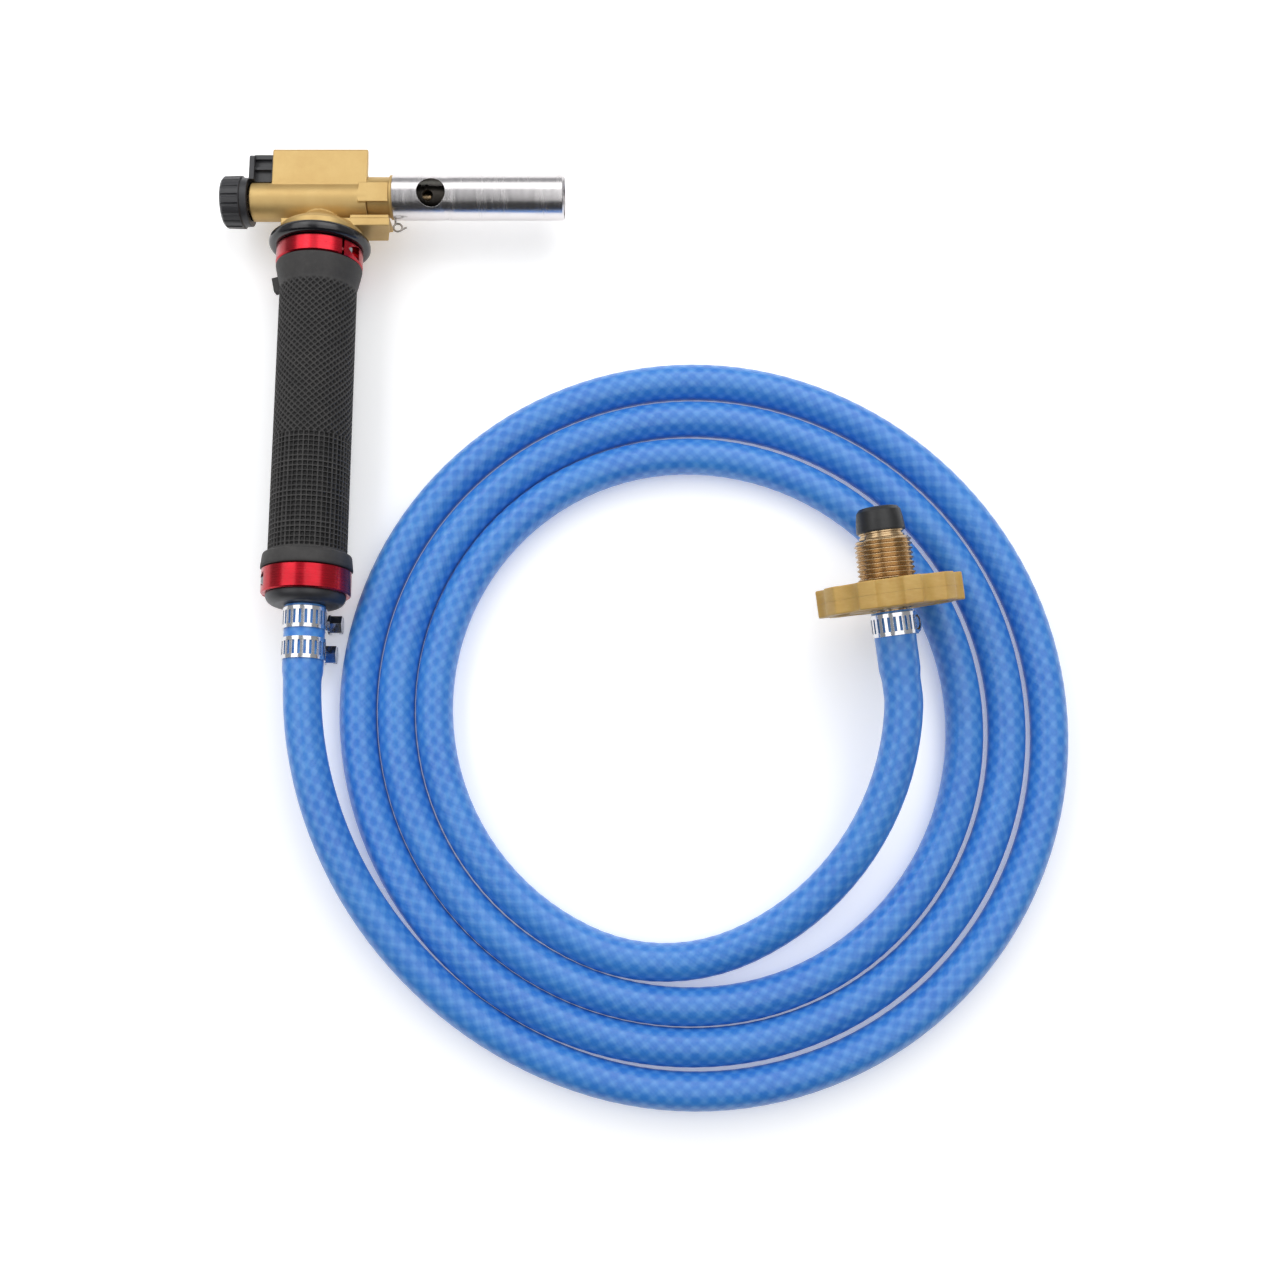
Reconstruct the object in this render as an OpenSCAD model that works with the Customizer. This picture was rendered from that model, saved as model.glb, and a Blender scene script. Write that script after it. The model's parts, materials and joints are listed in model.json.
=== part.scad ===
// Hand torch kit for a gas bottle: cassette-style torch head on a lock-on grip
// handle, a coiled hose and a soft-nose bottle coupling. Millimetres.
// +X runs along the flame tube to its open end, +Y up the handle to the torch
// head, +Z up from the floor the kit lies on. The origin is the middle of the
// kit's outline on the floor.

/* [Show] */
// Piece to draw

/* [Torch head] */
// Height of the torch and handle axis over the floor
axis_z = 20.25; // [18:0.05:22]
// Valve barrel diameter
barrel_d = 15.4; // [12:0.1:20]
// Valve barrel axis, along Y
barrel_y = 177.9; // [170:0.1:185]
// Top of the igniter housing, along Y
housing_top_y = 198.6; // [197:0.1:205]
// Control knob diameter
knob_d = 21; // [16:0.1:26]
// Number of flutes in the control knob
knob_flutes = 18; // [8:1:30]

/* [Flame tube] */
// Outside diameter
tube_d = 18.2; // [16:0.1:25]
// Wall thickness
tube_wall = 0.8; // [0.5:0.1:1.5]
// Axis of the flame tube, along Y
tube_y = 180; // [175:0.1:185]
// Open end, measured along X from the handle axis
tube_end = 98.9; // [70:0.5:120]
// Air hole diameter
air_hole_d = 11.6; // [6:0.1:13]

/* [Handle] */
// Bar diameter under the grip
bar_d = 22.2; // [20:0.1:26]
// Grip diameter over the tread
grip_d = 30.6; // [28:0.1:36]
// Lock ring diameter
collar_d = 34.6; // [30:0.1:40]
// Guard ring diameter
guard_d = 40.5; // [36:0.1:46]
// Pitch of the tread grooves
tread_pitch = 2.1; // [1.5:0.1:4]

/* [Hose] */
// Outside diameter
hose_d = 14.5; // [12:0.1:16]
// Bore
hose_bore = 8; // [6:0.1:9]
// Outside diameter over the fittings
hose_end_d = 15.6; // [14:0.1:17]
// Longest step between rings of the hose surface
hose_step = 15; // [6:1:25]

/* [Bottle coupling] */
// Height of the hose's end over the floor
coupling_z = 35.3; // [35:0.1:42]
// Angle from +Y, to the left
coupling_yaw = 7.5; // [0:0.5:20]
// Slope of the coupling, nose up
coupling_pitch = 8.3; // [0:0.1:15]
// Hand wheel diameter
wheel_d = 55; // [45:0.5:60]
// Number of lobes on the hand wheel
wheel_lobes = 10; // [6:1:12]
// Outside diameter of the bottle thread
thread_d = 21.8; // [20:0.05:25]

/* [Hidden] */
$fn = 64;
// moves the kit so that the middle of its outline is at the origin
kit_shift = [1.159, -9.102, 0];
// handle axis, along X, before that shift
handle_x = -129.8;

knob_r = knob_d / 2;
tube_r = tube_d / 2;
tube_bore_r = tube_r - tube_wall;
tube_insert_r = tube_bore_r - 0.04;
bar_r = bar_d / 2;
bar_wall = 1.2;
grip_r = grip_d / 2;
sleeve_r = 13;
pipe_r = 5;
pipe_hole_r = pipe_r + 0.06;
hose_r = hose_d / 2;
wheel_r = wheel_d / 2;
thread_r = thread_d / 2;

// ---------------------------------------------------------------- frames
module at_kit() { translate(kit_shift) children(); }
// the torch's own frame: handle axis along Y at x = 0, z = 0
module at_torch() { at_kit() translate([handle_x, 0, axis_z]) children(); }
// copies turned about an X axis at y, by each of the angles
module around_x(y, angles) {
  for (angle = angles) translate([0, y, 0]) rotate([angle, 0, 0]) children();
}

// ---------------------------------------------------------------- shapes
module cyl_x(radius, x0, x1, y = 0, z = 0) {
  translate([x0, y, z]) rotate([0, 90, 0]) cylinder(r = radius, h = x1 - x0);
}
module cyl_y(radius, y0, y1, x = 0, z = 0) {
  translate([x, y0, z]) rotate([-90, 0, 0]) cylinder(r = radius, h = y1 - y0);
}
module cyl_z(radius, z0, z1, x = 0, y = 0) {
  translate([x, y, z0]) cylinder(r = radius, h = z1 - z0);
}
module box(low, high) { translate(low) cube(high - low); }
module rect(low, high) { translate(low) square(high - low); }
// revolves a profile of [radius, distance] points about X, at y
module rev_x(profile, y = 0) {
  translate([0, y, 0]) rotate([0, 90, 0]) rotate_extrude() polygon(profile);
}
// revolves a drawing in [radius, distance] about Y
module turn_y() { rotate([-90, 0, 0]) rotate_extrude() children(); }
module rev_y(profile) { turn_y() polygon(profile); }
module sleeve_y(inner, outer, y0, y1) {
  rev_y([[inner, y0], [outer, y0], [outer, y1], [inner, y1]]);
}
module round_rect(low, high, radius) {
  rect(low + [radius, 0], high - [radius, 0]);
  rect(low + [0, radius], high - [0, radius]);
  for (x = [low[0] + radius, high[0] - radius]) for (y = [low[1] + radius, high[1] - radius])
    translate([x, y]) circle(radius);
}
// extrudes a profile drawn in [z, y] along X
module slab_x(x0, x1) {
  translate([x0, 0, 0]) multmatrix([[0, 0, 1, 0], [0, 1, 0, 0], [1, 0, 0, 0], [0, 0, 0, 1]])
    linear_extrude(height = x1 - x0) children();
}
// extrudes a profile drawn in [x, z] along Y
module slab_y(y0, y1) {
  translate([0, y1, 0]) rotate([90, 0, 0]) linear_extrude(height = y1 - y0) children();
}

// ---------------------------------------------------------------- sweeps
// A sweep follows a list of frames, each [position, tangent, side].
function cross3(a, b) =
  [a[1] * b[2] - a[2] * b[1], a[2] * b[0] - a[0] * b[2], a[0] * b[1] - a[1] * b[0]];
function ring(frame, radius, sides) = let (side = frame[2], up = cross3(frame[1], side))
  [for (k = [0:sides - 1]) let (angle = 360 * k / sides)
    frame[0] + radius * cos(angle) * side + radius * sin(angle) * up];
function ring_points(frames, radii, sides) =
  [for (i = [0:len(frames) - 1]) each ring(frames[i], radii[i], sides)];
// faces between neighbouring rings, the first ring starting at point number first
function wall_faces(first, rings, sides) =
  [for (i = [0:rings - 2]) for (k = [0:sides - 1])
    let (here = first + i * sides + k, next = first + i * sides + (k + 1) % sides) each
    [[here, next, here + sides], [next, next + sides, here + sides]]];
// flat end between an inner ring and an outer ring of twice its sides
function end_faces(outer, inner, inner_sides) =
  [for (k = [0:inner_sides - 1])
    let (here = inner + k, next = inner + (k + 1) % inner_sides,
         out0 = outer + 2 * k, out1 = out0 + 1, out2 = outer + (2 * k + 2) % (2 * inner_sides)) each
    [[here, out1, out0], [here, next, out1], [next, out2, out1]]];
function flip(faces) = [for (face = faces) [face[0], face[2], face[1]]];

// outer_sides is even; the bore has half as many
module tube_sweep(frames, outer_radii, inner_radii, outer_sides) {
  inner_sides = outer_sides / 2;
  rings = len(frames);
  bore = rings * outer_sides;
  polyhedron(
    points = concat(ring_points(frames, outer_radii, outer_sides),
                    ring_points(frames, inner_radii, inner_sides)),
    faces = concat(
      wall_faces(0, rings, outer_sides),
      flip(wall_faces(bore, rings, inner_sides)),
      end_faces(0, bore, inner_sides),
      flip(end_faces((rings - 1) * outer_sides, bore + (rings - 1) * inner_sides, inner_sides))));
}
module wire_sweep(frames, radius, sides) {
  rings = len(frames);
  polyhedron(
    points = ring_points(frames, [for (frame = frames) radius], sides),
    faces = concat(wall_faces(0, rings, sides),
                   [[for (k = [sides - 1:-1:0]) k]],
                   [[for (k = [0:sides - 1]) (rings - 1) * sides + k]]));
}

// ---------------------------------------------------------------- torch body
body_x1 = 19.1;
tongue_x1 = 28.1;
tongue_y = [174.7, 183.1];
piezo_y = 190.6;
lead_y = tube_y + 6.7;
lead_corner_x = 15;
foot_y = 164.5;
foot_top_y = 167.9;
foot_r = 16.3;
// [radius, y]
neck_profile = [
  [0, foot_y], [foot_r, foot_y], [15.2, 165.9], [12.2, 167.6], [9.3, 169.2], [7, 170.8],
  [5.2, 172.4], [4.4, 174], [0, 174]
];

// block for the trigger's stem, grown by gap; it clears the barrel below it
module trigger_guide(gap, x0, x1) {
  difference() {
    box([x0, 184.9 - gap, -4.8 - gap], [x1, 196.3 + gap, 4.8 + gap]);
    cyl_x(8 - gap, x0 - 1, x1 + 1, barrel_y);
  }
}
module torch_body_solid() {
  cyl_x(barrel_d / 2, -28, body_x1, barrel_y);
  // igniter housing
  slab_x(-19.5, body_x1) round_rect([-6.6, barrel_y], [5.9, housing_top_y], 1.1);
  // tongues that lock the burner holder, top and bottom, and the ledge beside it
  for (z = [6.55, -7.6]) box([16, tongue_y[0], z], [tongue_x1, tongue_y[1], z + 1.05]);
  box([12.8, 167.8, -6.3], [28.4, 169.6, 6.3]);
  // foot: round seat for the guard ring, domed neck and the plate under the barrel
  cyl_y(foot_r, 161.35, foot_y + 0.1);
  rev_y(neck_profile);
  slab_y(foot_y, foot_top_y)
    polygon([[-14.8, -7.2], [26.4, -7.2], [28.9, 5], [28.9, 7.2], [-14.8, 7.2]]);
}
module torch_body() at_torch() color([0.79, 0.65, 0.38]) difference() {
  union() torch_body_solid();
  // the housing's end wall slopes back towards the floor
  slab_y(188.2, 200) polygon([[19.2, 4.6], [17.1, -7], [20.5, -7], [20.5, 4.6]]);
  // socket for the burner holder's spigot
  cyl_x(3.05, 15.9, 20, tube_y);
  // valve bore, from the knob end: gland thread, spindle and gas outlet
  cyl_x(4.45, -28.4, -20.4, barrel_y);
  cyl_x(3.3, -21.4, 7.05, barrel_y);
  cyl_x(1.4, 6, 16.2, barrel_y);
  // gas way up from the handle pipe
  cyl_y(pipe_hole_r, 161, 168.2);
  cyl_y(1.9, foot_top_y, 176, -1);
  // trigger guide and igniter chamber
  trigger_guide(0.25, -20, -6.9);
  box([-7.4, 187.25, -5.05], [16.4, 193.95, 5.05]);
  // lead way to the front
  box([13.4, lead_y - 1.1, -1.1], [16.4, 188, 1.1]);
  cyl_x(0.95, 16, 20, lead_y);
}

// ---------------------------------------------------------------- burner
adapter_end = 36.3;
// [radius, x]
adapter_profile = [
  [0, 16], [3, 16], [3, 19.15], [7.8, 19.15], [8.15, 19.5], [8.15, 28.3], [8.85, 28.35],
  [8.85, 29.3], [tube_bore_r - 0.08, 29.35], [tube_bore_r - 0.08, 36], [7.9, adapter_end],
  [0, adapter_end]
];
module burner_adapter() at_torch() color([0.78, 0.64, 0.36]) difference() {
  rev_x(adapter_profile, tube_y);
  // pockets for the body's tongues
  for (z = [6.45, -10.45])
    box([18.9, tongue_y[0] - 0.1, z], [tongue_x1 + 0.2, tongue_y[1] + 0.1, z + 4]);
  // gas way, jet seat and the recess round the jet
  cyl_x(2.2, 15.5, 21, tube_y);
  cyl_x(3, 20.4, 30.4, tube_y);
  cyl_x(6.4, 30.2, adapter_end + 0.7, tube_y);
  // holes for the insulator and the lead
  cyl_x(1.25, 25.5, adapter_end + 0.7, lead_y);
  cyl_x(0.8, 19, 26, lead_y);
}
module gas_jet() at_torch() color([0.8, 0.6, 0.3]) difference() {
  union() {
    rev_x([[0, 24], [2.95, 24], [2.95, 30.4], [0, 30.4]], tube_y);
    cyl_x(4.2, 30.3, 33.7, tube_y, $fn = 6);
    rev_x([[0, 33.6], [2.3, 33.6], [2.3, 39.4], [1.9, 39.9], [1.9, 44.6], [1.5, 45.4], [0, 45.4]],
          tube_y);
  }
  cyl_x(1, 23.5, 43, tube_y);
  cyl_x(0.25, 42, 46, tube_y);
}

burner_x = [38.5, 66.3];
burner_r = 5.2;
burner_bore_r = 2.4;
burner_groove_r = 4.7;
// ends of the grooves round the burner, along X
burner_grooves = [[40.5, 42.5], [43.5, 51.1], [52.3, 54.1]];
module burner_head() at_torch() color([0.22, 0.21, 0.2]) difference() {
  union() {
    rev_x(concat(
      [[burner_bore_r, burner_x[0]], [burner_r, burner_x[0]]],
      [for (groove = burner_grooves) each
        [[burner_r, groove[0]], [burner_groove_r, groove[0] + 0.2],
         [burner_groove_r, groove[1] - 0.2], [burner_r, groove[1]]]],
      [[burner_r, burner_x[1]], [burner_bore_r, burner_x[1]]]), tube_y);
    // fins that reach the flame tube
    around_x(tube_y, [60, 150, 240]) box([54.3, 4.9, -0.6], [64.3, tube_insert_r, 0.6]);
  }
  // window over the jet, towards the air hole
  around_x(tube_y, [14]) cyl_z(2.2, 0, 9, 43.6);
}
module flame_swirler() at_torch() color([0.45, 0.43, 0.42]) difference() {
  rev_x([[0, 68], [tube_insert_r, 68], [tube_insert_r, 72], [7.7, 72], [7.7, 69.2], [0, 69.2]],
        tube_y);
  cyl_x(2.2, 67, 73, tube_y);
  around_x(tube_y, [0:45:315]) cyl_x(1.3, 67, 73, 5.2);
}

tube_start = 29.4;
module flame_tube() at_torch() color([0.78, 0.78, 0.8]) difference() {
  // a shallow waist lies between 46.5 and 54.5
  rev_x([[tube_r - 0.25, tube_start], [tube_r, tube_start + 0.25],
         [tube_r, 46.5], [tube_r - 0.2, 50.5], [tube_r, 54.5],
         [tube_r, tube_end - 0.5], [tube_r - 0.35, tube_end],
         [tube_bore_r, tube_end], [tube_bore_r, tube_start]], tube_y);
  // air hole, turned a little from the top towards the handle
  around_x(tube_y, [10]) cyl_z(air_hole_d / 2, 0, 12, 45.4);
}

// ---------------------------------------------------------------- igniter
earth_wire_r = 0.42;
earth_loop_r = 1.7;
// an open loop with a tail at each end and a short stem across to the body
module earth_wire() at_torch() color([0.6, 0.58, 0.55]) translate([30.9, 167.9, -2]) union() {
  rotate_extrude(angle = 300) translate([earth_loop_r, 0]) circle(earth_wire_r, $fn = 24);
  translate([earth_loop_r, 0, 0]) rotate([0, 0, -90]) cyl_x(earth_wire_r, 0, 1.2);
  translate([earth_loop_r * cos(300), earth_loop_r * sin(300), 0]) rotate([0, 0, 30])
    cyl_x(earth_wire_r, 0, 3.2);
  cyl_y(earth_wire_r, 1.3, 3, -1);
}

electrode_start = 26.1;
module electrode_insulator() at_torch() color([0.93, 0.92, 0.88]) difference() {
  rev_x([[0, electrode_start], [1.2, electrode_start], [1.2, 50.4], [0.9, 50.8], [0, 50.8]],
        lead_y);
  cyl_x(0.52, electrode_start - 0.1, 51, lead_y);
}
module electrode_rod() at_torch() color([0.6, 0.6, 0.6]) cyl_x(0.5, electrode_start, 66, lead_y);

lead_r = 0.7;
module ignition_lead() at_torch() color([0.75, 0.1, 0.1]) union() {
  cyl_x(lead_r, 13.2, lead_corner_x, piezo_y);
  cyl_y(lead_r, lead_y, piezo_y, lead_corner_x);
  cyl_x(lead_r, lead_corner_x, 26, lead_y);
  for (y = [piezo_y, lead_y]) translate([lead_corner_x, y, 0]) sphere(lead_r, $fn = 24);
}
module piezo_unit() at_torch() color([0.85, 0.85, 0.8]) difference() {
  union() {
    box([-2.7, piezo_y - 3, -4.9], [10.3, piezo_y + 3, 4.9]);
    cyl_x(2.6, 10.2, 13.1, piezo_y);
  }
  cyl_x(1.7, -3.7, 4.8, piezo_y);
}
module piezo_plunger() at_torch() color([0.9, 0.9, 0.9])
  rev_x([[0, -12.9], [2.6, -12.9], [2.6, -12.1], [1.6, -11.9], [1.6, -1.5], [1.3, -1.2],
         [0, -1.2]], piezo_y);

spring_x = -11.58;
spring_l = 8.55;
spring_r = 2.25;
spring_turns = 6;
spring_steps = 16; // per turn
// advance along X per millimetre round the coil, taken at radius 2.3
spring_lead = spring_l / (spring_turns * 2 * PI * 2.3);
spring_frames = [for (i = [0:spring_turns * spring_steps])
  let (angle = i * 360 / spring_steps,
       x = spring_x + spring_l * i / (spring_turns * spring_steps),
       tangent = [spring_lead, -sin(angle), cos(angle)] / sqrt(1 + spring_lead * spring_lead))
  [[x, piezo_y + spring_r * cos(angle), spring_r * sin(angle)], tangent,
   [0, cos(angle), sin(angle)]]];
module piezo_spring() at_torch() color([0.7, 0.7, 0.72]) wire_sweep(spring_frames, 0.28, 6);

// finger pad of the trigger, cut round the barrel and rounded off at its ends
module trigger_pad() {
  intersection() {
    difference() {
      box([-28.7, 185, -6.5], [-26.7, 197.4, 6.5]);
      cyl_x(8.1, -30, -25, barrel_y);
    }
    cyl_x(9.6, -30, -25, 187.8);
  }
}
module trigger_button() at_torch() color([0.12, 0.12, 0.13]) difference() {
  union() {
    trigger_guide(0, -27, -13);
    trigger_pad();
  }
  // recesses between the guide rails, top and bottom
  for (z = [-6, 3.4]) for (span = [[191, 194.4], [184, 189.8]])
    box([-26.7, span[0], z], [-20, span[1], z + 2.6]);
}

// ---------------------------------------------------------------- knob and valve
knob_end = -39.5;
module control_knob() at_torch() color([0.13, 0.13, 0.14]) difference() {
  rev_x([[0, knob_end], [knob_r - 1.1, knob_end], [knob_r - 0.2, -38.6], [knob_r, -31.8],
         [knob_r - 0.7, -31.4], [knob_r - 0.9, -28.8], [0, -28.8]], barrel_y);
  around_x(barrel_y, [for (i = [0:knob_flutes - 1]) i * 360 / knob_flutes])
    cyl_x(0.75, knob_end - 1, -32, knob_r + 0.1);
  // well for the gland nut, spindle bore, screw hole and screw seat
  cyl_x(7.2, -33.4, -28, barrel_y);
  cyl_x(2.05, -38.4, -32.4, barrel_y);
  cyl_x(1.3, -38.9, -37.4, barrel_y);
  cyl_x(2.9, -40.4, -38.3, barrel_y);
}
module knob_screw() at_torch() color([0.75, 0.75, 0.77]) difference() {
  union() {
    rev_x([[0, -39.3], [2.2, -39.3], [2.7, -38.9], [2.7, -38.35], [0, -38.35]], barrel_y);
    cyl_x(1.2, -38.4, -32.9, barrel_y);
  }
  // cross recess: half sizes along Y and Z
  for (half = [[1.7, 0.35], [0.35, 1.7]])
    box([-39.4, barrel_y - half[0], -half[1]], [-38.7, barrel_y + half[0], half[1]]);
}
module valve_spindle() at_torch() color([0.8, 0.65, 0.35]) difference() {
  rev_x([[0, -37.3], [2, -37.3], [2, -19.4], [3.22, -19], [3.22, -13], [2.8, -12.6],
         [0, -12.6]], barrel_y);
  // hole for the knob screw
  cyl_x(1.25, -38.4, -32.4, barrel_y);
}
module valve_needle() at_torch() color([0.7, 0.7, 0.7])
  rev_x([[0, -12.5], [2.2, -12.5], [2.2, -1], [1.6, -0.4], [1.6, 2.75], [0.5, 4.95], [0, 4.95]],
        barrel_y);
module valve_seat() at_torch() color([0.8, 0.62, 0.3])
  rev_x([[1.5, 3], [3.24, 3], [3.24, 7], [0.7, 7], [0.7, 4.6]], barrel_y);
module gland_nut() at_torch() color([0.8, 0.62, 0.3]) difference() {
  union() {
    cyl_x(5.9, -31.6, -28.1, barrel_y, $fn = 6);
    cyl_x(4.4, -28.2, -21, barrel_y);
  }
  // spindle bore and the O-ring's groove
  cyl_x(2.08, -32.4, -20.4, barrel_y);
  cyl_x(3.42, -25.4, -23.9, barrel_y);
}
module gland_oring() at_torch() color([0.1, 0.1, 0.1])
  translate([-24.65, barrel_y, 0]) rotate([0, 90, 0]) rotate_extrude()
    translate([2.72, 0]) circle(0.68, $fn = 24);

// ---------------------------------------------------------------- handle
// lock rings: [lower end, upper end, angle of the bolt from +Z towards +X]
upper_ring = [149.65, 156.55, 44];
lower_ring = [13.7, 23.5, -88];
grip_y = [lower_ring[1] + 0.05, upper_ring[0] - 0.1];

guard_edge = 2; // radius of the guard ring's round edges
module guard_ring() at_torch() color([0.05, 0.05, 0.06]) turn_y() {
  rim = guard_d / 2;
  edges_y = [158.6, 159.3];
  rect([pipe_r + 0.05, 156.6], [rim - guard_edge, 161.3]);
  rect([rim - 3, edges_y[0]], [rim, edges_y[1]]);
  for (y = edges_y) translate([rim - guard_edge, y]) circle(guard_edge);
}

// where the clamp bolt crosses its lock ring, the bolt lying along X
module bolt_at(lock) {
  translate([0, (lock[0] + lock[1]) / 2, 0]) rotate([0, lock[2], 0]) translate([0, 0, 14.2])
    children();
}
module collar(lock) {
  hole = bar_r + 0.05;
  rim = collar_d / 2;
  y0 = lock[0];
  y1 = lock[1];
  difference() {
    rev_y([[hole, y0], [rim - 0.5, y0], [rim, y0 + 0.5], [rim, y1 - 0.5], [rim - 0.5, y1],
           [hole, y1]]);
    bolt_at(lock) {
      // head pocket, shank hole and the split of the ring
      cyl_x(2.85, 1.6, 9);
      cyl_x(1.62, -7, 2);
      box([-0.6, -8, -4], [0.6, 8, 5]);
    }
  }
}
module collar_upper() at_torch() color([0.72, 0.06, 0.1]) collar(upper_ring);
module collar_lower() at_torch() color([0.72, 0.06, 0.1]) collar(lower_ring);
module cap_screw() {
  difference() {
    rev_x([[0, -6.5], [1.5, -6.5], [1.5, 1.7], [2.7, 1.7], [2.7, 4.4], [2.4, 4.7], [0, 4.7]]);
    cyl_x(1.45, 2.6, 5.6, $fn = 6);
  }
}
module collar_bolts() at_torch() color([0.85, 0.85, 0.87])
  for (lock = [upper_ring, lower_ring]) bolt_at(lock) cap_screw();

tread_y = 30.6;
tread_l = 45;
tread_depth = 0.55;
tread_count = floor(tread_l / tread_pitch);
module grip_rubber() at_torch() color([0.12, 0.12, 0.12]) rev_y(concat(
  [[sleeve_r + 0.06, grip_y[0]], [17.6, grip_y[0]], [17.8, 23.9], [17.2, 29.2], [grip_r, 30]],
  [for (i = [0:tread_count - 1]) let (y = tread_y + i * tread_pitch) each
    [[grip_r, y], [grip_r - tread_depth, y + 0.15], [grip_r - tread_depth, y + 0.55],
     [grip_r, y + 0.7]]],
  [[grip_r, 140.1], [17.2, 148.8], [16.9, grip_y[1]], [sleeve_r + 0.06, grip_y[1]]]));
module grip_sleeve() at_torch() color([0.2, 0.2, 0.2])
  sleeve_y(bar_r + 0.06, sleeve_r, grip_y[0], grip_y[1]);
// moulded tab standing off the grip's top edge
module grip_tab() at_torch() color([0.1, 0.1, 0.1])
  translate([0, 139.8, 0]) rotate([0, -96, 0]) translate([0, 0, 15.4]) rotate([12.3, 0, 0])
    box([-1.7, 0, 0.05], [1.7, 6, 2.6]);
module handle_bar() at_torch() color([0.7, 0.7, 0.72])
  sleeve_y(bar_r - bar_wall, bar_r, 13.8, 156.5);
module gas_pipe() at_torch() color([0.75, 0.6, 0.3]) sleeve_y(3, pipe_r, 9.95, 168);

cap_r = 11.6;
cap_edge = 3.9; // radius of the end cap's round edge
module end_cap() at_torch() color([0.09, 0.09, 0.1]) turn_y() {
  rect([pipe_hole_r, 9.5], [cap_r, 13.65]);
  rect([pipe_hole_r, 13.35], [cap_r + cap_edge, 13.65]);
  intersection() {
    translate([cap_r, 13.4]) circle(cap_edge);
    rect([cap_r - 0.1, 9], [16.5, 13.5]);
  }
  // plug inside the bar
  rect([pipe_hole_r, 13.5], [bar_r - bar_wall - 0.06, 19.8]);
}

fitting_r = 3.75; // hose fittings between their barbs
// profile of a barbed stem that starts at y
function barbs(start, count, pitch) = concat([[3.7, start]],
  [for (i = [1:count]) let (y = start + pitch * i) each
    [[4.28, y - 1], [fitting_r, y - 0.7], [fitting_r, y]]]);
module hose_barb() at_torch() color([0.8, 0.62, 0.3]) rev_y(concat(
  [[1.9, -13.25]],
  barbs(-13.25, 5, 4.2),
  [[fitting_r, 8.75], [4.25, 8.95], [4.25, 9.85], [2.95, 9.9], [2.95, 17.75], [1.9, 17.75]]));

// ---------------------------------------------------------------- hose
// legs of the hose's plan: [length, 0] straight, or [radius, angle] turning left
hose_legs = [
  [27.14, 0], [156.23, 71.792], [138.8, 134.122], [141.52, 45.394], [131.95, 138.501],
  [129.62, 67.818], [122.26, 41.075], [123.87, 116.191], [116.64, 142.499], [113.62, 62.739],
  [104.49, 23.364], [108.46, 141.967], [98.62, 47.925], [101.62, 112.487], [73.16, 47.805],
  [101.15, 64.013], [29.35, 9.808], [30.8, 0]
];
last_leg = len(hose_legs) - 1;
// stations on the hose: [x, y, heading, distance along the hose]
hose_start = [handle_x, 9.35, -90, 0];
function leg_length(leg) = leg[1] == 0 ? leg[0] : leg[0] * leg[1] * PI / 180;
// the station a distance along a leg from the leg's first station
function along(start, leg, distance) = let (heading = start[2]) leg[1] == 0
  ? [start[0] + distance * cos(heading), start[1] + distance * sin(heading), heading,
     start[3] + distance]
  : let (turned = heading + distance / leg[0] * 180 / PI)
    [start[0] + leg[0] * (sin(turned) - sin(heading)),
     start[1] - leg[0] * (cos(turned) - cos(heading)), turned, start[3] + distance];
function leg_start(i) = i == 0 ? hose_start
  : along(leg_start(i - 1), hose_legs[i - 1], leg_length(hose_legs[i - 1]));
hose_end = leg_start(last_leg + 1);
hose_l = hose_end[3];

// The hose falls from the handle to the floor, lies on it, then rises to the
// coupling and ends in a straight slope.
fall_at = 34;
fall_l = 170;
rise_l = 150;
slope_at = hose_l - hose_legs[last_leg][0];
rise_at = slope_at - rise_l;
end_slope = tan(coupling_pitch);
fall_h = axis_z - hose_r;
rise_h = coupling_z - hose_legs[last_leg][0] * end_slope - hose_r;
function clamp01(t) = min(1, max(0, t));
function smooth(t) = let (u = clamp01(t)) u * u * (3 - 2 * u);
function smooth_rate(t) = let (u = clamp01(t)) 6 * u * (1 - u);
function hose_z(distance) = let (t = clamp01((distance - rise_at) / rise_l))
  hose_r + fall_h * (1 - smooth((distance - fall_at) / fall_l))
  + rise_h * smooth(t) + rise_l * end_slope * (t * t * t - t * t)
  + max(0, distance - slope_at) * end_slope;
// slope of hose_z
function hose_dz(distance) = let (t = clamp01((distance - rise_at) / rise_l))
  -fall_h * smooth_rate((distance - fall_at) / fall_l) / fall_l
  + rise_h * smooth_rate(t) / rise_l + end_slope * (3 * t * t - 2 * t);
// how far a station lies into the swollen ends over the fittings, 0 to 1
function swell(distance) =
  max(1 - smooth((distance - 24.5) / 5), smooth((distance - hose_l + 26) / 5));

hose_stations = concat(
  [for (i = [0:last_leg])
    let (start = leg_start(i), leg = hose_legs[i], length = leg_length(leg),
         step = (i == 0 || i == last_leg) ? 5 : hose_step, count = ceil(length / step))
    for (k = [0:count - 1]) along(start, leg, length * k / count)],
  [hose_end]);
hose_frames = [for (station = hose_stations)
  let (heading = station[2], climb = atan(hose_dz(station[3])))
  [[station[0], station[1], hose_z(station[3])],
   [cos(heading) * cos(climb), sin(heading) * cos(climb), sin(climb)],
   [-sin(heading), cos(heading), 0]]];
module hose() at_kit() color([0.2, 0.5, 0.85]) tube_sweep(hose_frames,
  [for (station = hose_stations) hose_r + (hose_end_d - hose_d) / 2 * swell(station[3])],
  [for (station = hose_stations) hose_bore / 2 + 0.72 * swell(station[3])], 16);

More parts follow.
